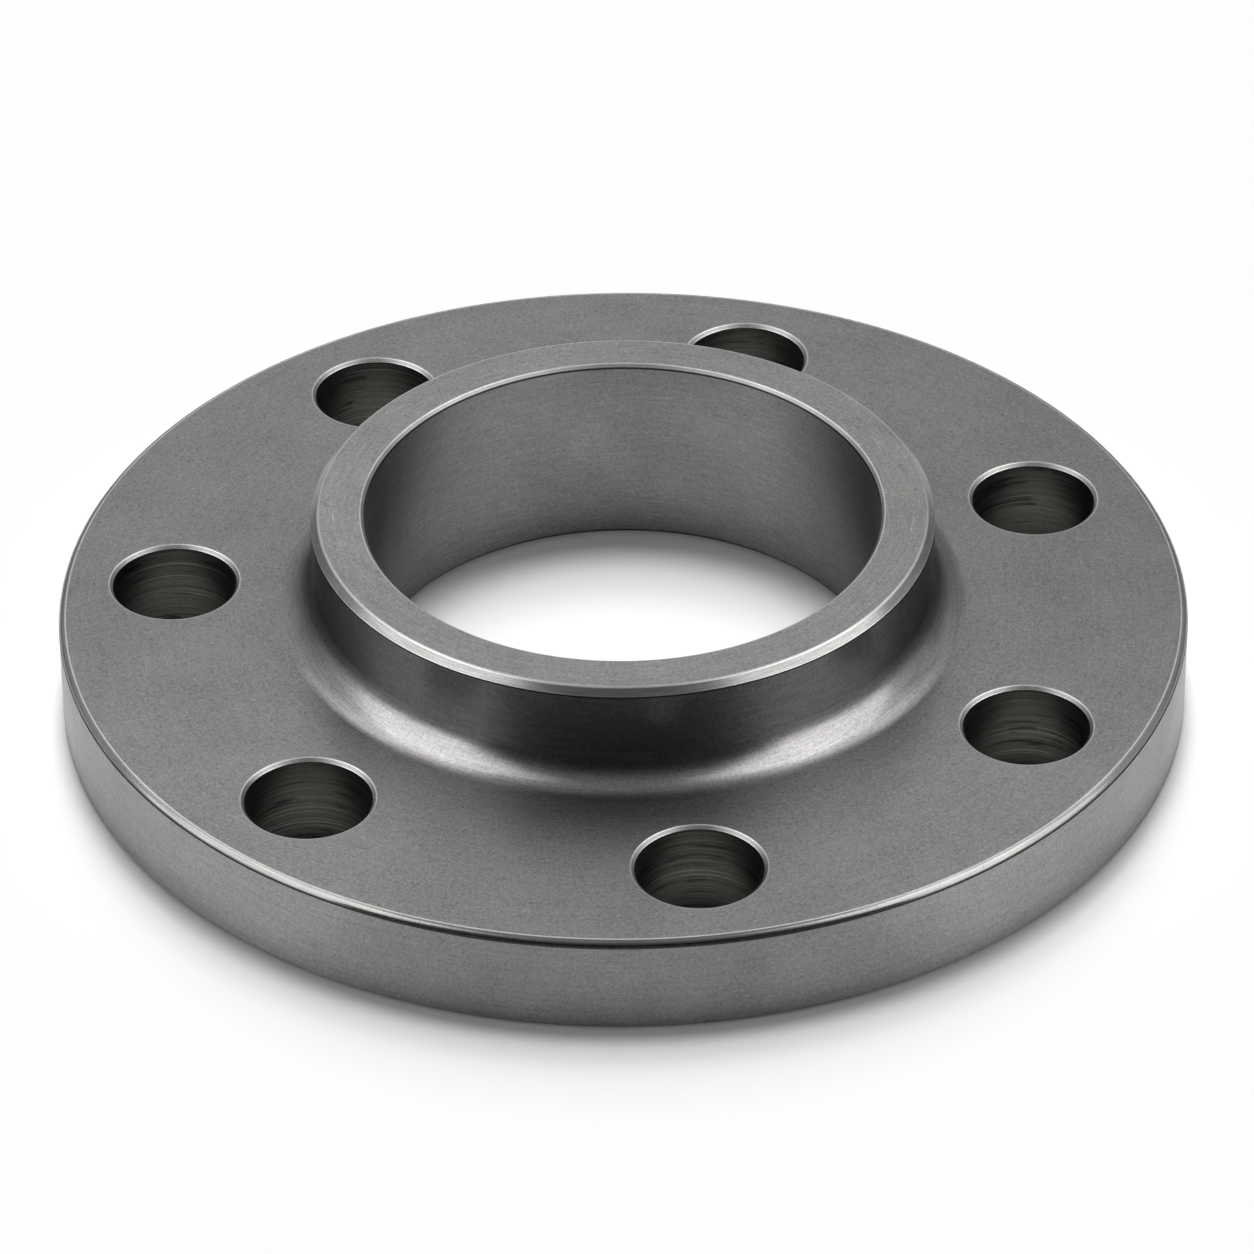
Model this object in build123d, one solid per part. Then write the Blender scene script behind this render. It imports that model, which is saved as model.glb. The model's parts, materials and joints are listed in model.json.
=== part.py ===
# Hubbed slip-on pipe flange, turned from one steel forging, lengths in millimetres.
# The flange lies on its sealing face at Z = 0, centred on the Z axis, with its hub upwards.

from build123d import *

import os

# Pipe and the bore that slips over it
PIPE_DIAMETER = 88.9
PIPE_CLEARANCE = 2.1
BORE_TOP_CHAMFER = 0.6
BORE_BASE_CHAMFER = 0.8

# Hub that stands on the disc
HUB_WALL = 9.5
HUB_HEIGHT = 19.0
HUB_CHAMFER = 1.3
HUB_ROOT_FILLET = 6.0

# Disc that carries the bolts
DISC_THICKNESS = 18.0
RIM_ROUND = 1.3
BASE_CHAMFER = 0.4

# Bolts, one of them facing the front
BOLT_COUNT = 7
BOLT_DIAMETER = 20.0
BOLT_CLEARANCE = 2.0
HOLE_CHAMFER = 0.6
NUT_ROOM = 25.0        # from the hub's wall out to the bolts' centres
EDGE_DISTANCE = 20.0   # from the bolts' centres out to the rim
FIRST_BOLT_ANGLE = -90.0

# Worked out from the sizes above
BORE_RADIUS = (PIPE_DIAMETER + PIPE_CLEARANCE) / 2
HUB_RADIUS = BORE_RADIUS + HUB_WALL
BOLT_CIRCLE_RADIUS = HUB_RADIUS + NUT_ROOM
RIM_RADIUS = BOLT_CIRCLE_RADIUS + EDGE_DISTANCE
HOLE_RADIUS = (BOLT_DIAMETER + BOLT_CLEARANCE) / 2
OVERALL_HEIGHT = DISC_THICKNESS + HUB_HEIGHT

# The fillet ends below the hub's chamfer and short of the bolt holes' mouths
ROOT_FILLET = min(
    HUB_ROOT_FILLET,
    0.9 * (HUB_HEIGHT - HUB_CHAMFER),
    0.9 * (NUT_ROOM - HOLE_RADIUS - HOLE_CHAMFER),
)

CUT_THROUGH = 2.0  # how far a drill's outline runs past both faces


def turned_blank():
    """Disc and hub as they leave the lathe: one half section turned round the axis."""
    with BuildPart() as blank:
        with BuildSketch(Plane.XZ):
            with BuildLine():
                Polyline(
                    (HUB_RADIUS, DISC_THICKNESS + ROOT_FILLET),
                    (HUB_RADIUS, OVERALL_HEIGHT - HUB_CHAMFER),
                    (HUB_RADIUS - HUB_CHAMFER, OVERALL_HEIGHT),
                    (BORE_RADIUS + BORE_TOP_CHAMFER, OVERALL_HEIGHT),
                    (BORE_RADIUS, OVERALL_HEIGHT - BORE_TOP_CHAMFER),
                    (BORE_RADIUS, BORE_BASE_CHAMFER),
                    (BORE_RADIUS + BORE_BASE_CHAMFER, 0),
                    (RIM_RADIUS - BASE_CHAMFER, 0),
                    (RIM_RADIUS, BASE_CHAMFER),
                    (RIM_RADIUS, DISC_THICKNESS - RIM_ROUND),
                )
                CenterArc(
                    (RIM_RADIUS - RIM_ROUND, DISC_THICKNESS - RIM_ROUND),
                    RIM_ROUND,
                    0,
                    90,
                )
                Line(
                    (RIM_RADIUS - RIM_ROUND, DISC_THICKNESS),
                    (HUB_RADIUS + ROOT_FILLET, DISC_THICKNESS),
                )
                CenterArc(
                    (HUB_RADIUS + ROOT_FILLET, DISC_THICKNESS + ROOT_FILLET),
                    ROOT_FILLET,
                    180,
                    90,
                )
            make_face()
        revolve(axis=Axis.Z)
    return blank.part


def bolt_hole_cutter():
    """Space that one bolt hole takes out of the disc, with a chamfered mouth at both faces."""
    mouth_radius = HOLE_RADIUS + HOLE_CHAMFER + CUT_THROUGH
    with BuildPart() as cutter:
        with BuildSketch(Plane.XZ):
            with BuildLine():
                Polyline(
                    (0, -CUT_THROUGH),
                    (mouth_radius, -CUT_THROUGH),
                    (HOLE_RADIUS, HOLE_CHAMFER),
                    (HOLE_RADIUS, DISC_THICKNESS - HOLE_CHAMFER),
                    (mouth_radius, DISC_THICKNESS + CUT_THROUGH),
                    (0, DISC_THICKNESS + CUT_THROUGH),
                    close=True,
                )
            make_face()
        revolve(axis=Axis.Z)
    return cutter.part


def flange_body():
    """The finished flange: the turned blank with its circle of bolt holes drilled."""
    cutter = bolt_hole_cutter()
    with BuildPart() as flange:
        add(turned_blank())
        with PolarLocations(BOLT_CIRCLE_RADIUS, BOLT_COUNT, start_angle=FIRST_BOLT_ANGLE):
            add(cutter, mode=Mode.SUBTRACT)
    return flange.part


def main():
    os.makedirs("parts", exist_ok=True)
    body = flange_body()
    body.label = "flange_body"
    export_step(body, "parts/flange_body.step")
    print(f"rim {2 * RIM_RADIUS:.1f}, hub {2 * HUB_RADIUS:.1f}, bore {2 * BORE_RADIUS:.1f}")
    print(f"bolt circle {2 * BOLT_CIRCLE_RADIUS:.1f}, height {OVERALL_HEIGHT:.1f}")
    print(f"volume {body.volume:.0f} cubic millimetres")


main()
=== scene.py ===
"""Pipe flange in turned and blasted steel, with the plain studio that it is seen in."""

import json
import math

import bpy
from mathutils import Matrix, Vector


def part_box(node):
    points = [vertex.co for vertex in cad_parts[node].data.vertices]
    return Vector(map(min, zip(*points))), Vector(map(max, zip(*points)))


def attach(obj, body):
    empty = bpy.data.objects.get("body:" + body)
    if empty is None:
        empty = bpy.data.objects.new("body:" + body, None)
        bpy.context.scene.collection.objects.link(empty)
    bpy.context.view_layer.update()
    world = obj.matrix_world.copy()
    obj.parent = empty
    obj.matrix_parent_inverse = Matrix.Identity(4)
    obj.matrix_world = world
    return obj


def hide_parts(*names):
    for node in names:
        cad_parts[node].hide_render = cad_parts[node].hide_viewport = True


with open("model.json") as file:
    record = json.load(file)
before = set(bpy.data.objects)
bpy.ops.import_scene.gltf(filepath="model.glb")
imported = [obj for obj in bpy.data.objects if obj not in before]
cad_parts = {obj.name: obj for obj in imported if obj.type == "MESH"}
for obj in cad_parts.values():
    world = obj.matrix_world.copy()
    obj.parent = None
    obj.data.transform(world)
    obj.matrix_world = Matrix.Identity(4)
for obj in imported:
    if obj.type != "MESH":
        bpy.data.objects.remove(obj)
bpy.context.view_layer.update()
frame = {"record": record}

bl_info = {
    "name": "Pipe flange",
    "version": (1, 0, 0),
    "blender": (4, 5, 0),
    "location": "View3D > Sidebar > Flange",
    "description": "Models a hubbed slip-on pipe flange in machined steel, in a plain studio",
    "category": "Object",
}

NODE = "flange_body"
MM = 0.001
RIM_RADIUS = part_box(NODE)[1].x
OVERALL_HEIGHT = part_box(NODE)[1].z

# The bore and the bolt holes are those of the mounts
MOUNTS = {mount["name"]: mount for mount in frame["record"]["mounts"]}
BORE = MOUNTS["pipe_bore"]
BORE_RADIUS = BORE["dims"]["r_mm"] * MM
BORE_LENGTH = BORE["dims"]["length_mm"] * MM
BORE_MIDDLE = BORE["pos_m"][2]
BOLTS = MOUNTS["bolt_circle"]
BOLT_COUNT = BOLTS["dims"]["count"]
BOLT_CIRCLE_RADIUS = BOLTS["dims"]["pcd_mm"] / 2 * MM
HOLE_RADIUS = BOLTS["dims"]["hole_r_mm"] * MM
DISC_MIDDLE = BOLTS["pos_m"][2]
FIRST_BOLT_ANGLE = math.radians(-90)

# Fineness of the mesh: columns over one bolt's share of the turn, rows along a spoke beside it and
# from its hole out to its share's border, and steps round an arris, the rim's edge and the root
COLUMNS = 36
SPOKE_ROWS = 16
WEB_ROWS = 6
ARRIS_STEPS = 4
RIM_STEPS = 16
ROOT_STEPS = 24


def linear(hex_colour):
    """A written sRGB colour, such as 8a8886, as the linear RGB that shaders take."""
    channels = [int(hex_colour[i:i + 2], 16) / 255 for i in (0, 2, 4)]
    return [c / 12.92 if c <= 0.04045 else ((c + 0.055) / 1.055) ** 2.4 for c in channels]


def add_to_scene(name, data):
    """A new object in the scene, with the mesh, lamp or camera that it shows."""
    thing = bpy.data.objects.new(name, data)
    bpy.context.scene.collection.objects.link(thing)
    return thing


# Sizes, colours and lamps that a user would change


class FlangeShape(bpy.types.PropertyGroup):
    """Sizes of the flange."""

    disc_thickness: bpy.props.FloatProperty(
        name="Disc thickness", description="From the sealing face to the bolting face",
        default=2 * DISC_MIDDLE, unit="LENGTH")
    hub_radius: bpy.props.FloatProperty(
        name="Hub radius", description="Radius of the hub's plain wall",
        default=55 * MM, unit="LENGTH")
    hub_root: bpy.props.FloatProperty(
        name="Hub root", description="Radius that blends the hub into the disc",
        default=6 * MM, unit="LENGTH")
    hub_chamfer: bpy.props.FloatProperty(
        name="Hub chamfer", description="Chamfer round the top of the hub",
        default=1.3 * MM, unit="LENGTH")
    rim_round: bpy.props.FloatProperty(
        name="Rim round", description="Radius between the bolting face and the rim",
        default=1.3 * MM, unit="LENGTH")
    base_chamfer: bpy.props.FloatProperty(
        name="Base chamfer", description="Chamfer between the rim and the sealing face",
        default=0.4 * MM, unit="LENGTH")
    bore_top_chamfer: bpy.props.FloatProperty(
        name="Bore top chamfer", description="Chamfer at the bore's mouth in the hub",
        default=OVERALL_HEIGHT - BORE_MIDDLE - BORE_LENGTH / 2, unit="LENGTH")
    bore_base_chamfer: bpy.props.FloatProperty(
        name="Bore base chamfer", description="Chamfer at the bore's mouth in the sealing face",
        default=BORE_MIDDLE - BORE_LENGTH / 2, unit="LENGTH")
    hole_chamfer: bpy.props.FloatProperty(
        name="Hole chamfer", description="Chamfer at both mouths of a bolt hole",
        default=0.6 * MM, unit="LENGTH")
    arris: bpy.props.FloatProperty(
        name="Arris", description="Radius that a light deburring leaves on each edge",
        default=0.3 * MM, unit="LENGTH")
    hub_arris: bpy.props.FloatProperty(
        name="Hub arris", description="Wider radius that is worn on the hub's upper edge",
        default=0.65 * MM, unit="LENGTH")
    # A bright band on the flat end beside the bore's mouth: partly a burnished land, partly painted
    # highlight
    shine: bpy.props.FloatProperty(
        name="Shine", description="Width of the burnished land at the bore's mouth",
        default=0.2 * MM, unit="LENGTH")
    # Width of a painted shade line: a dark band drawn just under a chamfer
    seam: bpy.props.FloatProperty(
        name="Seam", description="Width of the dark line where a chamfer's cut ends",
        default=0.3 * MM, unit="LENGTH")


class FlangeFinish(bpy.types.PropertyGroup):
    """Colours of the steel."""

    steel: bpy.props.FloatVectorProperty(
        name="Steel", description="Colour of the disc's two faces and of the hub's root",
        default=linear("747373"), size=3, subtype="COLOR", min=0, max=1)
    faced_steel: bpy.props.FloatVectorProperty(
        name="Faced steel", description="Colour of the hub's end",
        default=linear("7e7d7c"), size=3, subtype="COLOR", min=0, max=1)
    rim_steel: bpy.props.FloatVectorProperty(
        name="Rim steel", description="Colour of the rim",
        default=linear("888786"), size=3, subtype="COLOR", min=0, max=1)
    cut_steel: bpy.props.FloatVectorProperty(
        name="Cut steel", description="Colour of the hub's wall",
        default=linear("6e6e6d"), size=3, subtype="COLOR", min=0, max=1)
    chamfer_steel: bpy.props.FloatVectorProperty(
        name="Chamfer steel", description="Colour of the hub's chamfer and of the rim's round",
        default=linear("727271"), size=3, subtype="COLOR", min=0, max=1)
    mouth_steel: bpy.props.FloatVectorProperty(
        name="Mouth steel", description="Colour of the countersunk mouths",
        default=linear("757574"), size=3, subtype="COLOR", min=0, max=1)
    # These two lighter colours are partly the burnish of deburred edges and partly painted
    # highlight lines along them
    bright_steel_and_highlight: bpy.props.FloatVectorProperty(
        name="Bright steel", description="Colour of the hub's burnished arrises",
        default=linear("939392"), size=3, subtype="COLOR", min=0, max=1)
    deburred_steel_and_highlight: bpy.props.FloatVectorProperty(
        name="Deburred steel", description="Colour of the arrises at the mouths and the rim",
        default=linear("a0a09f"), size=3, subtype="COLOR", min=0, max=1)
    bored_steel: bpy.props.FloatVectorProperty(
        name="Bored steel", description="Colour of the bore's wall",
        default=linear("7d7d7c"), size=3, subtype="COLOR", min=0, max=1)
    # Darker than the other steel, partly as painted shade deep in the bolt holes
    shaded_drilled_steel: bpy.props.FloatVectorProperty(
        name="Drilled steel", description="Colour of the bolt holes' walls",
        default=linear("555451"), size=3, subtype="COLOR", min=0, max=1)
    # Painted shade: the dark lines under the chamfers stand in for the shadow of a step
    shade_line_steel: bpy.props.FloatVectorProperty(
        name="Seam steel", description="Colour of the dark lines where a chamfer's cut ends",
        default=linear("383837"), size=3, subtype="COLOR", min=0, max=1)


class FlangeStudio(bpy.types.PropertyGroup):
    """Lamps and camera."""

    azimuth: bpy.props.FloatProperty(
        name="Azimuth", description="Turn of the camera round the flange, from facing a bolt hole",
        default=math.radians(-9.01), subtype="ANGLE")
    camera_reach: bpy.props.FloatProperty(
        name="Camera reach", description="Level distance from the flange's axis to the camera",
        default=1034.5 * MM, unit="LENGTH")
    camera_height: bpy.props.FloatProperty(
        name="Camera height", description="Height of the camera above the floor",
        default=748.8 * MM, unit="LENGTH")
    camera_tilt: bpy.props.FloatProperty(
        name="Camera tilt", description="How far the camera looks down",
        default=0.6194, subtype="ANGLE")
    camera_turn: bpy.props.FloatProperty(
        name="Camera turn", description="How far the camera looks aside from the axis",
        default=0.0005, subtype="ANGLE")
    camera_roll: bpy.props.FloatProperty(
        name="Camera roll", description="Lean of the camera's horizon",
        default=0.007, subtype="ANGLE")
    lens: bpy.props.FloatProperty(
        name="Lens", description="Focal length for a sensor 36 mm wide",
        default=204.98, subtype="DISTANCE_CAMERA")
    left_radiance: bpy.props.FloatProperty(
        name="Left soft box", description="Brightness of the left soft box, where white is 1",
        default=2.85, min=0)
    right_radiance: bpy.props.FloatProperty(
        name="Right soft box", description="Brightness of the right soft box, where white is 1",
        default=3.05, min=0)
    sky_level: bpy.props.FloatProperty(
        name="Sky level", description="Light on the floor from all round, where white is 1",
        default=0.1, min=0, max=1, subtype="FACTOR")


# Form of the flange


class Shell:
    """A closed mesh in the making: its points, the true normal at each, and its faces."""

    def __init__(self):
        self.points = []
        self.normals = []
        self.faces = []
        self.finishes = []

    def point(self, position, normal):
        """Adds a point and gives its number."""
        self.points.append(Vector(position))
        self.normals.append(Vector(normal))
        return len(self.points) - 1

    def ring(self, radius, height, normal, angles, centre=(0, 0)):
        """One closed row of points round an upright axis, its normal given as (outwards, up)."""
        row = []
        for angle in angles:
            out = Vector((math.cos(angle), math.sin(angle), 0))
            position = out * radius + Vector((*centre, height))
            row.append(self.point(position, out * normal[0] + Vector((0, 0, normal[1]))))
        return row

    def between(self, first, second, steps):
        """The rows that lie evenly between two flat rows of points."""
        rows = []
        for step in range(1, steps):
            share = step / steps
            rows.append([
                self.point(self.points[a].lerp(self.points[b], share), self.normals[a])
                for a, b in zip(first, second)
            ])
        return rows

    def skin(self, rows, finish):
        """Quads between each two neighbours in a list of closed rows."""
        for first, second in zip(rows, rows[1:]):
            count = len(first)
            for k in range(count):
                following = (k + 1) % count
                self.faces.append((first[k], first[following], second[following], second[k]))
                self.finishes.append(finish)


def corner(radius, height, rounding, steps, arc, finish):
    """A corner of a turned section. Its rounding is split into arc, a list of (finish, share of
    the turn), and finish is that of the straight stretch that follows."""
    return {"at": Vector((radius, height)), "rounding": rounding, "steps": steps,
            "arc": arc, "finish": finish}


def plain(radius, height, finish):
    """A point on a straight stretch of a turned section, where only the finish changes."""
    return corner(radius, height, 0, 0, (), finish)


def arc_finish(arc, share):
    """The finish at a share of the way round a corner."""
    reached = 0
    for finish, part in arc:
        reached += part
        if share < reached:
            return finish
    return arc[-1][0]


def rounded_section(corners, closed):
    """Rows of a turned section, as (place, normal, finish of what follows), whose corners have
    become arcs. The solid is on the left of the way that the corners take. A section that isn't
    closed begins and ends with plain points."""
    rows = []
    count = len(corners)
    for index, here in enumerate(corners):
        following = corners[(index + 1) % count]
        if index == 0 and not closed:
            along = (following["at"] - here["at"]).normalized()
        else:
            along = (here["at"] - corners[index - 1]["at"]).normalized()
        normal = Vector((along.y, -along.x))
        if here["steps"] == 0:
            rows.append((here["at"], normal, here["finish"]))
            continue
        after = (following["at"] - here["at"]).normalized()
        turn = math.atan2(along.x * after.y - along.y * after.x, along.dot(after))
        side = math.copysign(1, turn)
        start = here["at"] - along * here["rounding"] * math.tan(abs(turn) / 2)
        centre = start - normal * side * here["rounding"]
        for step in range(here["steps"] + 1):
            tilted = Matrix.Rotation(turn * step / here["steps"], 2) @ normal
            last = step == here["steps"]
            finish = here["finish"] if last else arc_finish(here["arc"], step / here["steps"])
            rows.append((centre + tilted * side * here["rounding"], tilted, finish))
    return rows


# How the roundings of the corners are finished, as (finish, share of the turn). The seam is
# painted shade: a dark line where a chamfer's cut ends, in place of a step's shadow.
ARRIS = (("arris", 1.0),)
MOUTH_ARRIS = (("mouth_arris", 1.0),)
SHADE_LINE = (("seam", 1.0),)
BASE_ARRIS = (("rim", 1.0),)
ROOT = (("root", 1.0),)
# These roundings carry a painted shade line on their lower part, and on their upper part a lighter
# arris that is partly painted highlight
HUB_FOOT = (("seam", 0.5), ("arris", 0.5))
RIM_EDGE = (("seam", 0.16), ("edge", 0.68), ("mouth_arris", 0.16))
MOUTH_FOOT = (("mouth_arris", 0.6), ("seam", 0.4))


def flange_corners(shape):
    """Corners of the half section, from the bore's lower end out, up and back to the bore."""
    rim, hub, bore = RIM_RADIUS, shape.hub_radius, BORE_RADIUS
    thick, top = shape.disc_thickness, OVERALL_HEIGHT
    arris, steps = shape.arris, ARRIS_STEPS
    ring_outside = hub - shape.hub_chamfer
    ring_inside = bore + shape.bore_top_chamfer
    wall_top = top - shape.hub_chamfer
    bore_top = top - shape.bore_top_chamfer
    return [
        corner(bore + shape.bore_base_chamfer, 0, arris, steps, ARRIS, "sealing"),
        corner(rim - shape.base_chamfer, 0, arris, steps, BASE_ARRIS, "rim"),
        corner(rim, shape.base_chamfer, arris, steps, BASE_ARRIS, "rim"),
        corner(rim, thick, shape.rim_round, RIM_STEPS, RIM_EDGE, "bolting"),
        corner(hub, thick, shape.hub_root, ROOT_STEPS, ROOT, "wall"),
        # Painted shade: a dark band on the hub's wall just under its chamfer
        plain(hub, wall_top - shape.seam, "seam"),
        corner(hub, wall_top, arris, steps, HUB_FOOT, "edge"),
        corner(ring_outside, top, shape.hub_arris, 2 * steps, ARRIS, "hub"),
        # Partly painted highlight: a bright band on the flat end beside the bore's mouth
        plain(ring_inside + shape.shine, top, "mouth_arris"),
        corner(ring_inside, top, arris, steps, MOUTH_ARRIS, "mouth"),
        # Painted shade: a dark band in the bore just under its upper chamfer
        corner(bore, bore_top, arris, steps, SHADE_LINE, "seam"),
        plain(bore, bore_top - shape.seam, "bore"),
        # Painted shade on the rounding at the bore's lower chamfer
        corner(bore, shape.bore_base_chamfer, arris, steps, SHADE_LINE, "bore"),
    ]


def hole_corners(shape):
    """Corners of a bolt hole's wall, from the bolting face down to the sealing face."""
    mouth = HOLE_RADIUS + shape.hole_chamfer
    thick, arris, steps = shape.disc_thickness, shape.arris, ARRIS_STEPS
    wall_top = thick - shape.hole_chamfer
    return [
        plain(mouth + arris, thick, "land"),
        corner(mouth, thick, arris, steps, MOUTH_ARRIS, "mouth"),
        # Painted shade: a dark band in the hole just under its upper chamfer
        corner(HOLE_RADIUS, wall_top, arris, steps, MOUTH_FOOT, "seam"),
        plain(HOLE_RADIUS, wall_top - shape.seam, "hole"),
        corner(HOLE_RADIUS, shape.hole_chamfer, arris, steps, MOUTH_ARRIS, "mouth"),
        corner(mouth, 0, arris, steps, MOUTH_ARRIS, "land"),
        plain(mouth + arris, 0, "land"),
    ]


def sector_border(outer, inner, spokes, sector):
    """The closed row of points round one bolt's share of a flat face, anticlockwise from above."""
    total = len(outer)
    picks = [(sector * COLUMNS + k) % total for k in range(COLUMNS + 1)]
    far = [outer[k] for k in picks]
    near = [inner[k] for k in picks]
    low, high = spokes[sector], spokes[(sector + 1) % len(spokes)]
    return far[:-1] + high[::-1][:-1] + near[::-1][:-1] + low[:-1]


def make_spokes(shell, outer, inner):
    """Rows of points from the inner ring to the outer one, midway between the bolt holes."""
    spokes = []
    for sector in range(BOLT_COUNT):
        a, b = inner[sector * COLUMNS], outer[sector * COLUMNS]
        rows = shell.between([a], [b], SPOKE_ROWS)
        spokes.append([a] + [row[0] for row in rows] + [b])
    return spokes


def skin_turned_section(shell, shape):
    """Skins all that is turned but the two faces that the bolt holes pierce, and gives the rings
    at the edges of those: first of the bolting face, then of the sealing face."""
    total = BOLT_COUNT * COLUMNS
    start = FIRST_BOLT_ANGLE - math.pi / BOLT_COUNT
    angles = [start + 2 * math.pi * k / total for k in range(total)]
    section = rounded_section(flange_corners(shape), closed=True)
    rings = [shell.ring(place.x, place.y, normal, angles) for place, normal, _ in section]
    pierced = {}
    for index, (_, _, finish) in enumerate(section):
        first, second = rings[index], rings[(index + 1) % len(rings)]
        if finish in ("sealing", "bolting"):
            pierced[finish] = (first, second)
        else:
            shell.skin([first, second], finish)
    return pierced["bolting"], pierced["sealing"]


def flange_shell(shape):
    """The whole skin: the turned section with its two pierced faces, and the bolt holes."""
    shell = Shell()
    (top_outer, top_inner), (base_inner, base_outer) = skin_turned_section(shell, shape)
    top_spokes = make_spokes(shell, top_outer, top_inner)
    base_spokes = make_spokes(shell, base_outer, base_inner)
    section = rounded_section(hole_corners(shape), closed=False)
    # A hole has as many points round it as the border of its share has, and its first point
    # faces the border's first
    around = 2 * (COLUMNS + SPOKE_ROWS)
    for sector in range(BOLT_COUNT):
        azimuth = FIRST_BOLT_ANGLE + 2 * math.pi * sector / BOLT_COUNT
        centre = (BOLT_CIRCLE_RADIUS * math.cos(azimuth), BOLT_CIRCLE_RADIUS * math.sin(azimuth))
        start = azimuth - math.pi * COLUMNS / around
        angles = [start + 2 * math.pi * k / around for k in range(around)]
        rings = [
            shell.ring(place.x, place.y, normal, angles, centre) for place, normal, _ in section
        ]
        for index, (_, _, finish) in enumerate(section[:-1]):
            shell.skin(rings[index:index + 2], finish)
        border = sector_border(top_outer, top_inner, top_spokes, sector)
        shell.skin([border] + shell.between(border, rings[0], WEB_ROWS) + [rings[0]], "bolting")
        border = sector_border(base_outer, base_inner, base_spokes, sector)
        shell.skin([rings[-1]] + shell.between(rings[-1], border, WEB_ROWS) + [border], "sealing")
    return shell


def mesh_from(shell, name, finishes):
    """The shell as a mesh object, with one material for each finish."""
    mesh = bpy.data.meshes.new(name)
    mesh.from_pydata(shell.points, [], shell.faces)
    order = list(finishes)
    for finish in order:
        mesh.materials.append(finishes[finish])
    mesh.polygons.foreach_set("material_index", [order.index(f) for f in shell.finishes])
    mesh.polygons.foreach_set("use_smooth", [True] * len(mesh.polygons))
    mesh.normals_split_custom_set_from_vertices(shell.normals)
    mesh.validate()
    return add_to_scene(name, mesh)


# Finishes of the steel


def add_node(tree, kind, inputs=None, **settings):
    """Adds a node, sets its attributes, and sets or links its inputs."""
    made = tree.nodes.new(kind)
    for name, value in settings.items():
        setattr(made, name, value)
    for name, value in (inputs or {}).items():
        if isinstance(value, bpy.types.NodeSocket):
            tree.links.new(value, made.inputs[name])
        else:
            made.inputs[name].default_value = value
    return made


def empty_material(name):
    """A new material, and its node tree with nothing in it."""
    material = bpy.data.materials.new(name)
    material.use_nodes = True
    material.node_tree.nodes.clear()
    return material, material.node_tree


# Sizes of the patterns on the steel. Blasting leaves dimples of about 0.15 mm, too fine to show
# here, so they are drawn 0.44 mm wide. The feed of the lathe's tool, 0.2 mm a turn, is drawn
# 0.4 mm wide for the same reason.
DIMPLE_SIZE = 0.44 * MM
FEED = 0.4 * MM
HUE_SIZE = 2.4 * MM
PATCH_SIZE = 14 * MM
SCORE_PITCH = 0.3 * MM
RING_PITCH = 1.3 * MM
RING_LENGTH = 42 * MM
RING_ZONE = 6 * MM
STREAK_PITCH = 0.4 * MM

# How often a feed mark and a score change along their length, for each radian round the axis
FEED_CHANGES = 9
SCORE_CHANGES = 5

# Between which two values of its noise a mark sets in. A ring fades out between two distances from
# the middle of its noise.
SCORE_BAND = (0.66, 0.72)
WORN_BAND = (0.5, 0.62)
ZONE_BAND = (0.4, 0.55)
STREAK_BAND = (0.35, 0.65)
BURNISH_BAND = (0.66, 0.72)
RING_BAND = (0.01, 0.035)

# How strong the streaks are beside the rings
STREAK_SHARE = 0.3

# Noise seldom leaves this range, so what follows it slowly is spread over the range
NOISE_RANGE = (0.3, 0.7)

# How deep the dimples and the feed marks are
DIMPLE_DEPTH = 0.004 * MM
FEED_DEPTH = 0.002 * MM

# How strongly the patches lighten and darken the steel, and how far they change its roughness
PATCH_TONE = 0.35
PATCH_GLOSS = 0.02

# A quarter turn from the way round the axis: reflections are stretched across the feed marks
ACROSS_FEED = 0.25

# The two greys that the steel wanders between
WARM = (1.014, 1.0, 0.986)
COOL = (0.986, 1.0, 1.016)


def turned_place(tree):
    """Where a point of the steel lies, its direction from the axis, and its way across the feed,
    which grows outwards on a face and downwards on a wall."""
    place = add_node(tree, "ShaderNodeTexCoord").outputs["Object"]
    height = add_node(tree, "ShaderNodeSeparateXYZ", {"Vector": place}).outputs["Z"]
    level = add_node(
        tree, "ShaderNodeVectorMath", {0: place, 1: (1, 1, 0)}, operation="MULTIPLY").outputs[0]
    reach = add_node(tree, "ShaderNodeVectorMath", {0: level}, operation="LENGTH").outputs["Value"]
    across = add_node(
        tree, "ShaderNodeMath", {0: reach, 1: height}, operation="SUBTRACT").outputs[0]
    heading = add_node(
        tree, "ShaderNodeVectorMath", {0: level}, operation="NORMALIZE").outputs[0]
    return place, heading, across


def feed_place(tree, heading, across, pitch, changes):
    """Coordinates that vary quickly across the feed and slowly along it."""
    rows = add_node(
        tree, "ShaderNodeMath", {0: across, 1: 1 / pitch}, operation="MULTIPLY").outputs[0]
    lift = add_node(tree, "ShaderNodeCombineXYZ", {"Z": rows}).outputs[0]
    return add_node(
        tree, "ShaderNodeVectorMath", {0: heading, 1: (changes, changes, 0), 2: lift},
        operation="MULTIPLY_ADD").outputs[0]


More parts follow.
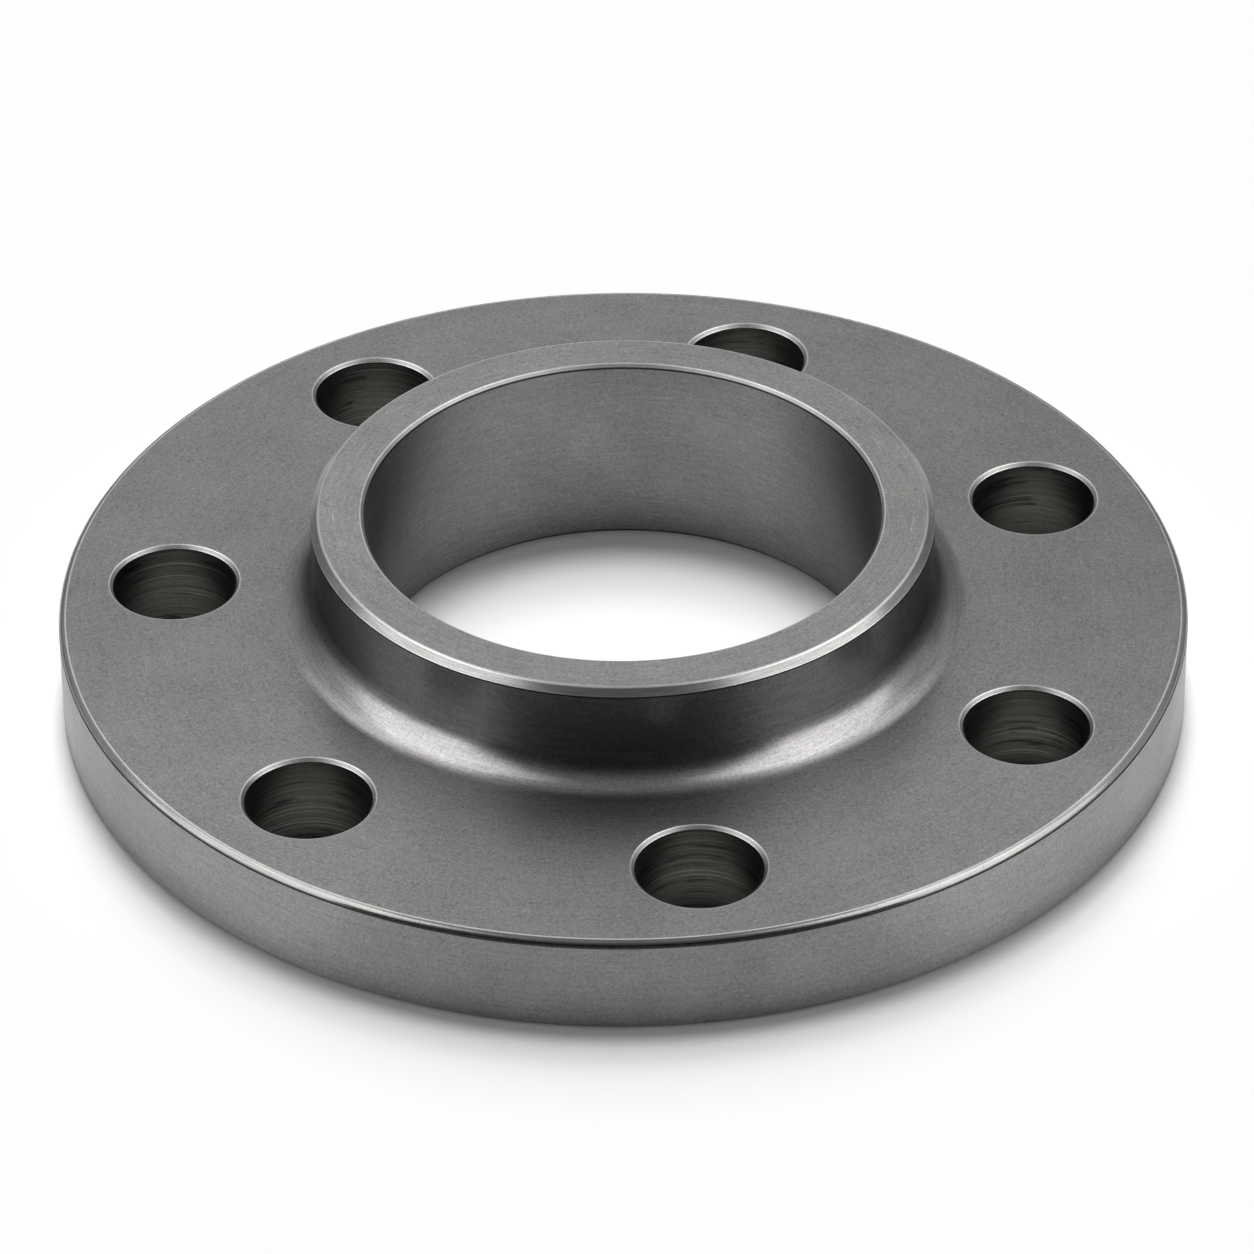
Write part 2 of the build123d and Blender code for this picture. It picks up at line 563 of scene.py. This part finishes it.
def draw_patterns(tree, place, heading, across, scratches, rings):
    """The noise of each pattern by its name, drawn from a place, scale, detail and distortion."""
    drawn = {
        "dimples": (place, 1 / DIMPLE_SIZE, 1.5, 1.6),
        "feed": (feed_place(tree, heading, across, FEED, FEED_CHANGES), 1.0, 3.0, 0.0),
        "patches": (place, 1 / PATCH_SIZE, 3.0, 0.0),
        "hue": (place, 1 / HUE_SIZE, 2.0, 0.0),
    }
    if scratches:
        scored = feed_place(tree, heading, across, SCORE_PITCH, SCORE_CHANGES)
        drawn["scores"] = (scored, 1.0, 1.0, 0.0)
        drawn["worn"] = (place, 1 / PATCH_SIZE, 1.0, 0.5)
    if rings:
        for name, pitch in (("rings", RING_PITCH), ("streaks", STREAK_PITCH)):
            flat = (1 / RING_LENGTH, 1 / RING_LENGTH, 1 / pitch)
            flattened = add_node(
                tree, "ShaderNodeVectorMath", {0: place, 1: flat}, operation="MULTIPLY")
            drawn[name] = (flattened.outputs[0], 1.0, 1.5, 0.0)
        drawn["zones"] = (place, 1 / RING_ZONE, 1.0, 0.0)
    patterns = {}
    for name, (vector, scale, detail, distortion) in drawn.items():
        inputs = {"Vector": vector, "Scale": scale, "Detail": detail, "Distortion": distortion}
        patterns[name] = add_node(tree, "ShaderNodeTexNoise", inputs).outputs["Fac"]
    return patterns


def blasted_tone(tree, patterns, grain, brush):
    """How dimples, feed marks and patches lighten and darken the steel, round a mean of 1."""
    amounts = {"dimples": grain, "feed": brush, "patches": PATCH_TONE}
    tone = 1 - sum(amounts.values()) / 2
    for name, amount in amounts.items():
        tone = add_node(
            tree, "ShaderNodeMath", {0: patterns[name], 1: amount, 2: tone},
            operation="MULTIPLY_ADD").outputs[0]
    return tone


def scored_tone(tree, patterns, tone, scratches):
    """A tone that bright scores lighten, where the steel is worn."""
    gain = scratches
    for name, (low, high) in (("scores", SCORE_BAND), ("worn", WORN_BAND)):
        inputs = {"Value": patterns[name], "From Min": low, "From Max": high,
                  "To Min": 0.0, "To Max": 1.0}
        share = add_node(tree, "ShaderNodeMapRange", inputs).outputs[0]
        gain = add_node(
            tree, "ShaderNodeMath", {0: gain, 1: share}, operation="MULTIPLY").outputs[0]
    return add_node(tree, "ShaderNodeMath", {0: tone, 1: gain}, operation="ADD").outputs[0]


def drilled_tone(tree, patterns, tone, rings):
    """A tone with the drill's dark rings, dull streaks and bright, burnished ones."""
    # A dark ring lies wherever the slow pattern crosses its middle, and so is thin and unbroken
    away = add_node(
        tree, "ShaderNodeMath", {0: patterns["rings"], 1: 0.5}, operation="SUBTRACT").outputs[0]
    away = add_node(tree, "ShaderNodeMath", {0: away}, operation="ABSOLUTE").outputs[0]
    low, high = ZONE_BAND
    inputs = {"Value": patterns["zones"], "From Min": low, "From Max": high,
              "To Min": 1.0, "To Max": 1 - rings}
    depth = add_node(tree, "ShaderNodeMapRange", inputs).outputs[0]
    streak = STREAK_SHARE * rings
    for value, (low, high), least, most in (
            (away, RING_BAND, depth, 1.0),
            (patterns["streaks"], STREAK_BAND, 1 - streak, 1 + streak),
            (patterns["streaks"], BURNISH_BAND, 1.0, 1 + rings)):
        inputs = {"Value": value, "From Min": low, "From Max": high,
                  "To Min": least, "To Max": most}
        share = add_node(tree, "ShaderNodeMapRange", inputs).outputs[0]
        tone = add_node(
            tree, "ShaderNodeMath", {0: tone, 1: share}, operation="MULTIPLY").outputs[0]
    return tone


def wandering_grey(tree, hue, colour):
    """Mill steel isn't one grey: it wanders between a warmer and a cooler one."""
    greys = []
    for tint in (WARM, COOL):
        greys.append(add_node(
            tree, "ShaderNodeVectorMath", {0: colour, 1: tint}, operation="MULTIPLY").outputs[0])
    low, high = NOISE_RANGE
    blend = add_node(
        tree, "ShaderNodeMapRange", {"Value": hue, "From Min": low, "From Max": high}).outputs[0]
    mixed = add_node(
        tree, "ShaderNodeMix",
        {"Factor": blend, "A": greys[0], "B": greys[1]}, data_type="VECTOR")
    return mixed.outputs["Result"]


def steel(name, colour, roughness, turned=0.0, grain=1.2, brush=0.3, scratches=0.0, rings=0.0,
          edge_tint=1.0):
    """Plain carbon steel. Turned says how far its feed marks stretch a reflection across them.
    Grain, brush, scratches and rings say how strongly blasted dimples, feed marks, long scores and
    drill marks lighten and darken it. Edge tint is how bright it is at a glancing angle."""
    material, tree = empty_material(name)
    place, heading, across = turned_place(tree)
    patterns = draw_patterns(tree, place, heading, across, scratches, rings)
    tone = blasted_tone(tree, patterns, grain, brush)
    if scratches:
        tone = scored_tone(tree, patterns, tone, scratches)
    if rings:
        tone = drilled_tone(tree, patterns, tone, rings)
    toned = add_node(
        tree, "ShaderNodeVectorMath",
        {0: wandering_grey(tree, patterns["hue"], colour), "Scale": tone},
        operation="SCALE").outputs[0]
    bumped = add_node(
        tree, "ShaderNodeBump",
        {"Height": patterns["feed"], "Strength": 1.0, "Distance": FEED_DEPTH}).outputs[0]
    bumped = add_node(
        tree, "ShaderNodeBump",
        {"Height": patterns["dimples"], "Strength": 1.0, "Distance": DIMPLE_DEPTH,
         "Normal": bumped}).outputs[0]
    round_axis = add_node(
        tree, "ShaderNodeVectorMath", {0: (0, 0, 1), 1: heading},
        operation="CROSS_PRODUCT").outputs[0]
    low, high = NOISE_RANGE
    gloss = add_node(
        tree, "ShaderNodeMapRange",
        {"Value": patterns["patches"], "From Min": low, "From Max": high,
         "To Min": roughness + PATCH_GLOSS, "To Max": roughness - PATCH_GLOSS}).outputs[0]
    surface = add_node(
        tree, "ShaderNodeBsdfPrincipled",
        {"Base Color": toned, "Metallic": 1.0, "Normal": bumped,
         "Anisotropic": turned, "Anisotropic Rotation": ACROSS_FEED, "Tangent": round_axis,
         "Roughness": gloss,
         "Specular Tint": (edge_tint, edge_tint, edge_tint, 1)}).outputs[0]
    add_node(tree, "ShaderNodeOutputMaterial", {"Surface": surface})
    return material


def flange_finishes(finish):
    """Every finish of the one piece of steel, by the part of the skin that carries it."""
    return {
        # Faced and then blasted: an even, speckled mid grey, in which the tool marks only soften
        # and stretch reflections a little
        "bolting": steel("steel_blasted_face", finish.steel, 0.34, turned=0.4, grain=1.6,
                         edge_tint=0.5),
        # The form tool's blend, blasted: like the face, but smoother and with clearer tool marks
        "root": steel("steel_blasted_root", finish.steel, 0.29, turned=0.6, brush=0.7,
                      edge_tint=0.5),
        # Turned and lightly blasted: fine marks round the hub
        "wall": steel("steel_turned_hub", finish.cut_steel, 0.28, turned=0.7, brush=0.6,
                      edge_tint=0.3),
        # Faced last: brighter, with marks and long scores that run round it
        "hub": steel("steel_faced_hub_end", finish.faced_steel, 0.32, grain=1.4, brush=0.55,
                     scratches=0.5, edge_tint=0.5),
        # Turned on the outside: the lightest of the large surfaces, faintly streaked
        "rim": steel("steel_turned_rim", finish.rim_steel, 0.4, turned=0.7, brush=0.4),
        # Bored: smooth and even, with faint marks and a few scores
        "bore": steel("steel_bored_wall", finish.bored_steel, 0.35, turned=0.75, grain=1.1,
                      brush=0.5, scratches=0.15, edge_tint=0.4),
        # Drilled: dark drill rings and burnished streaks on a dull wall, darkened as painted shade
        # of the holes
        "hole": steel("steel_drilled_wall_shaded", finish.shaded_drilled_steel, 0.36, grain=0.7, rings=0.6,
                      edge_tint=0.3),
        # Hidden below: faced with a round tool, a plain turned finish
        "sealing": steel("steel_faced_base", finish.steel, 0.32, grain=0.3, brush=0.6),
        # Chamfers and the rim's rounded edge: cut last, smooth and bright
        "edge": steel("steel_cut_chamfer", finish.chamfer_steel, 0.24, turned=0.5, grain=0.5,
                      brush=0.8),
        # Arrises that deburring has burnished: thin lines, lighter than all else, partly painted
        # highlight
        "arris": steel("steel_burnished_arris_highlight", finish.bright_steel_and_highlight, 0.30, grain=0.5),
        # Countersunk mouths: a rougher cut that shows light all round
        "mouth": steel("steel_countersunk_mouth", finish.mouth_steel, 0.42, grain=0.5, brush=0.5),
        # Deburred arrises, the rim round's upper edge and the band by the bore's mouth: partly
        # burnish, partly painted highlight
        "mouth_arris": steel("steel_deburred_mouth_highlight", finish.deburred_steel_and_highlight, 0.34, grain=0.5),
        # The land round a mouth, where the deburring tool has just touched the face
        "land": steel("steel_touched_land", finish.faced_steel, 0.32, grain=0.5, edge_tint=0.5),
        # Painted shade: a dark line where a chamfer's cut stops, in place of the shadow of a step
        "seam": steel("steel_painted_shade_line", finish.shade_line_steel, 0.4, grain=0.5, edge_tint=0.2),
    }


class FLANGE_OT_make_body(bpy.types.Operator):
    """Model the flange's body with its chamfers, root and bolt holes, and finish it in steel"""

    bl_idname = "flange.make_body"
    bl_label = "Make flange body"

    def execute(self, context):
        scene = context.scene
        shell = flange_shell(scene.flange_shape)
        body = mesh_from(shell, "turned_flange", flange_finishes(scene.flange_finish))
        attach(body, "root")
        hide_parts(NODE)
        return {"FINISHED"}


# Studio: azimuths are in degrees from the photograph's front, elevations in degrees from the
# floor, and distances in metres. A level of light is 1 where it shows a white floor as white.

# The floor's half width, the gap that keeps it clear of the flange's face, its white, and how far
# it is lifted where it is seen
FLOOR_HALF = 8
FLOOR_GAP = 0.05 * MM
FLOOR_WHITE = (0.9, 0.9, 0.9, 1)
FLOOR_LIFT = 0.05

# How far the lamps are from the flange, and the light that the snoot adds to the floor
BOX_DISTANCE = 1.0
OVERHEAD_DISTANCE = 1.5
SNOOT_HEIGHT = 0.6
SNOOT_LEVEL = 0.18

# Columns and rows of a card's mesh
CARD_COLUMNS = 24
CARD_ROWS = 8

# Width of the camera's sensor in millimetres
SENSOR_WIDTH = 36

# Soft boxes at the sides, as (name, azimuth, elevation, width, height)
LEFT_BOX = ("box_left", -75, 36, 0.9, 1.27)
RIGHT_BOX = ("box_right", 75, 37, 0.86, 1.27)

# Lamps high behind the flange, as (name, elevation, spread in degrees, light on the floor)
OVERHEADS = (
    ("overhead_high", 77, 16, 0.5),
    ("overhead_middle", 60, 20, 0.33),
    ("overhead_low", 42, 20, 0.11),
)

# Cards that the steel mirrors, as (name, azimuths, elevations, distance, strength, grade)
CARDS = (
    # In front it is dark, so that the front of the hub is, and lighter only from high up
    ("card_low", (-42, 42), (0, 20), 0.2, 0.0, None),
    ("card_front", (-42, 42), (0, 60), 0.95, -0.4, (0, 0, 1.02)),
    ("card_overhead", (0, 360), (62, 90), 1.9, 0.56, None),
    # The backdrop is graded: brighter in the middle, on the left and towards the top
    ("card_back", (150, 210), (12, 62), 1.9, 0.14, (-0.3, 0, 0.75)),
    ("card_middle", (175, 191), (12, 50), 1.8, 1.3, None),
    ("card_back_left", (-152, -118), (-1, 22), 0.6, 0.35, (0, 0, 1.6)),
    ("card_back_right", (118, 152), (-1, 22), 0.6, 0.35, (0, 0, 1.6)),
    # Above each soft box a wider strip reaches round to the back, where it is brighter
    ("strip_left", (-164, -42), (44, 68), 1.5, 1.8, (0, 1.8, 0)),
    ("strip_right", (42, 164), (44, 68), 1.5, 1.8, (0, 1.8, 0)),
)


def seen_from(azimuth, elevation, distance):
    """A place round the flange. Azimuth 0 is at its front bolt hole and 90 degrees on its right."""
    level = distance * math.cos(elevation)
    return Vector((level * math.sin(azimuth), -level * math.cos(azimuth),
                   distance * math.sin(elevation)))


def aim_at_flange(lamp):
    """Turns a lamp so that it shines at the middle of the flange."""
    lamp.rotation_mode = "QUATERNION"
    lamp.rotation_quaternion = (-lamp.location).to_track_quat("-Z", "Y")


def seen_rays(tree):
    """1 for rays that see the background: straight, in metal or through glass."""
    path = add_node(tree, "ShaderNodeLightPath").outputs
    pair = add_node(
        tree, "ShaderNodeMath",
        {0: path["Is Camera Ray"], 1: path["Is Glossy Ray"]}, operation="MAXIMUM").outputs[0]
    return add_node(
        tree, "ShaderNodeMath",
        {0: pair, 1: path["Is Transmission Ray"]}, operation="MAXIMUM").outputs[0]


def make_floor():
    """A pale matt floor that is white where it is lit and keeps the flange's shadow."""
    half = FLOOR_HALF
    mesh = bpy.data.meshes.new("floor")
    mesh.from_pydata(
        [(-half, -half, 0), (half, -half, 0), (half, half, 0), (-half, half, 0)],
        [], [(0, 1, 2, 3)])
    floor = add_to_scene("floor", mesh)
    floor.location.z = -FLOOR_GAP
    material, tree = empty_material("floor_matt_white")
    matt = add_node(tree, "ShaderNodeBsdfDiffuse", {"Color": FLOOR_WHITE}).outputs[0]
    lift = add_node(
        tree, "ShaderNodeMath", {0: seen_rays(tree), 1: FLOOR_LIFT},
        operation="MULTIPLY").outputs[0]
    glow = add_node(tree, "ShaderNodeEmission", {"Strength": lift}).outputs[0]
    both = add_node(tree, "ShaderNodeAddShader", {0: matt, 1: glow}).outputs[0]
    add_node(tree, "ShaderNodeOutputMaterial", {"Surface": both})
    mesh.materials.append(material)


def make_sky(level):
    """White wherever it is seen, and a low even light on the floor."""
    world = bpy.data.worlds.new("studio")
    bpy.context.scene.world = world
    world.use_nodes = True
    tree = world.node_tree
    tree.nodes.clear()
    strength = add_node(
        tree, "ShaderNodeMapRange",
        {"Value": seen_rays(tree), "To Min": level, "To Max": 1.0}).outputs[0]
    sky = add_node(
        tree, "ShaderNodeBackground", {"Color": (1, 1, 1, 1), "Strength": strength}).outputs[0]
    add_node(tree, "ShaderNodeOutputWorld", {"Surface": sky})


def make_soft_box(front, radiance, name, azimuth, elevation, width, height):
    """A rectangular lamp that the steel mirrors and that adds no light to the floor."""
    lamp = bpy.data.lights.new(name, "AREA")
    lamp.shape = "RECTANGLE"
    lamp.size = width
    lamp.size_y = height
    lamp.energy = radiance * math.pi * width * height
    box = add_to_scene(name, lamp)
    box.location = seen_from(front + math.radians(azimuth), math.radians(elevation), BOX_DISTANCE)
    box.visible_camera = False
    box.visible_diffuse = False
    aim_at_flange(box)


def make_overhead(front, name, elevation, spread, level):
    """A soft lamp high behind the flange, which lights the floor evenly and draws the shadow."""
    lamp = bpy.data.lights.new(name, "SUN")
    lamp.angle = math.radians(spread)
    lamp.energy = level * math.pi / math.sin(math.radians(elevation))
    overhead = add_to_scene(name, lamp)
    overhead.location = seen_from(front + math.pi, math.radians(elevation), OVERHEAD_DISTANCE)
    overhead.visible_camera = False
    overhead.visible_glossy = False
    aim_at_flange(overhead)


def make_snoot():
    """A narrow soft lamp over the bore, which lifts the floor that is seen through it."""
    lamp = bpy.data.lights.new("snoot", "SPOT")
    lamp.spot_size = 2 * math.atan(BORE_RADIUS / SNOOT_HEIGHT)
    lamp.spot_blend = 1.0
    lamp.energy = SNOOT_LEVEL * (2 * math.pi * SNOOT_HEIGHT) ** 2
    snoot = add_to_scene("snoot", lamp)
    snoot.location = (0, 0, SNOOT_HEIGHT)
    snoot.visible_camera = False
    snoot.visible_glossy = False


def curved_mesh(name, azimuths, elevations, distance):
    """A mesh that curves round the flange, between two azimuths and two elevations."""
    points = []
    for row in range(CARD_ROWS + 1):
        up = elevations[0] + (elevations[1] - elevations[0]) * row / CARD_ROWS
        for column in range(CARD_COLUMNS + 1):
            turn = azimuths[0] + (azimuths[1] - azimuths[0]) * column / CARD_COLUMNS
            points.append(seen_from(math.radians(turn), math.radians(up), distance))
    wide = CARD_COLUMNS + 1
    mesh = bpy.data.meshes.new(name)
    mesh.from_pydata(points, [], [
        (r * wide + c, r * wide + c + 1, (r + 1) * wide + c + 1, (r + 1) * wide + c)
        for r in range(CARD_ROWS) for c in range(CARD_COLUMNS)
    ])
    return mesh


def make_card(front, name, azimuths, elevations, distance, strength, grade):
    """A glowing card, seen only where the steel mirrors it. A grade is the strength that it gains
    for each metre to the right, to the back and up."""
    mesh = curved_mesh(name, azimuths, elevations, distance)
    card = add_to_scene(name, mesh)
    card.rotation_euler.z = front
    material, tree = empty_material(name)
    if grade:
        place = add_node(tree, "ShaderNodeTexCoord").outputs["Object"]
        gain = add_node(
            tree, "ShaderNodeVectorMath", {0: place, 1: grade},
            operation="DOT_PRODUCT").outputs["Value"]
        strength = add_node(
            tree, "ShaderNodeMath", {0: gain, 1: strength}, operation="ADD").outputs[0]
        strength = add_node(
            tree, "ShaderNodeMath", {0: strength, 1: 0.0}, operation="MAXIMUM").outputs[0]
    glow = add_node(
        tree, "ShaderNodeEmission", {"Color": (1, 1, 1, 1), "Strength": strength}).outputs[0]
    add_node(tree, "ShaderNodeOutputMaterial", {"Surface": glow})
    mesh.materials.append(material)
    card.visible_camera = False
    card.visible_diffuse = False
    card.visible_shadow = False


def make_camera(studio):
    """The camera at the photograph's viewing angle."""
    lens = bpy.data.cameras.new("camera")
    lens.lens = studio.lens
    lens.sensor_width = SENSOR_WIDTH
    camera = add_to_scene("camera", lens)
    place = Matrix.Rotation(studio.azimuth, 4, "Z") @ Matrix.Translation(
        (0, -studio.camera_reach, studio.camera_height))
    look = (Matrix.Rotation(math.pi / 2 - studio.camera_tilt, 4, "X")
            @ Matrix.Rotation(-studio.camera_turn, 4, "Y")
            @ Matrix.Rotation(-studio.camera_roll, 4, "Z"))
    camera.matrix_world = place @ look
    bpy.context.scene.camera = camera


class FLANGE_OT_set_studio(bpy.types.Operator):
    """Lay the floor, place the lamps and cards, and aim the camera"""

    bl_idname = "flange.set_studio"
    bl_label = "Set studio"

    def execute(self, context):
        studio = context.scene.flange_studio
        front = studio.azimuth
        make_floor()
        make_sky(studio.sky_level)
        for overhead in OVERHEADS:
            make_overhead(front, *overhead)
        make_snoot()
        make_soft_box(front, studio.left_radiance, *LEFT_BOX)
        make_soft_box(front, studio.right_radiance, *RIGHT_BOX)
        for card in CARDS:
            make_card(front, *card)
        make_camera(studio)
        context.scene.view_settings.view_transform = "Standard"
        return {"FINISHED"}


class FLANGE_PT_panel(bpy.types.Panel):
    """Sidebar panel with the flange's sizes, colours, lamps and operators"""

    bl_idname = "FLANGE_PT_panel"
    bl_label = "Pipe flange"
    bl_space_type = "VIEW_3D"
    bl_region_type = "UI"
    bl_category = "Flange"

    def draw(self, context):
        layout = self.layout
        for group in (context.scene.flange_shape, context.scene.flange_finish,
                      context.scene.flange_studio):
            box = layout.box()
            for name in group.__annotations__:
                box.prop(group, name)
        layout.operator(FLANGE_OT_make_body.bl_idname)
        layout.operator(FLANGE_OT_set_studio.bl_idname)


CLASSES = (
    FlangeShape,
    FlangeFinish,
    FlangeStudio,
    FLANGE_OT_make_body,
    FLANGE_OT_set_studio,
    FLANGE_PT_panel,
)


def register():
    """Adds the classes, and the sizes, colours and lamps that a scene keeps."""
    for one in CLASSES:
        bpy.utils.register_class(one)
    bpy.types.Scene.flange_shape = bpy.props.PointerProperty(type=FlangeShape)
    bpy.types.Scene.flange_finish = bpy.props.PointerProperty(type=FlangeFinish)
    bpy.types.Scene.flange_studio = bpy.props.PointerProperty(type=FlangeStudio)


def unregister():
    """Takes away what register adds."""
    del bpy.types.Scene.flange_studio
    del bpy.types.Scene.flange_finish
    del bpy.types.Scene.flange_shape
    for one in reversed(CLASSES):
        bpy.utils.unregister_class(one)


def main():
    """Makes the flange and its studio."""
    register()
    bpy.ops.flange.make_body()
    bpy.ops.flange.set_studio()


if __name__ == "__main__":
    main()
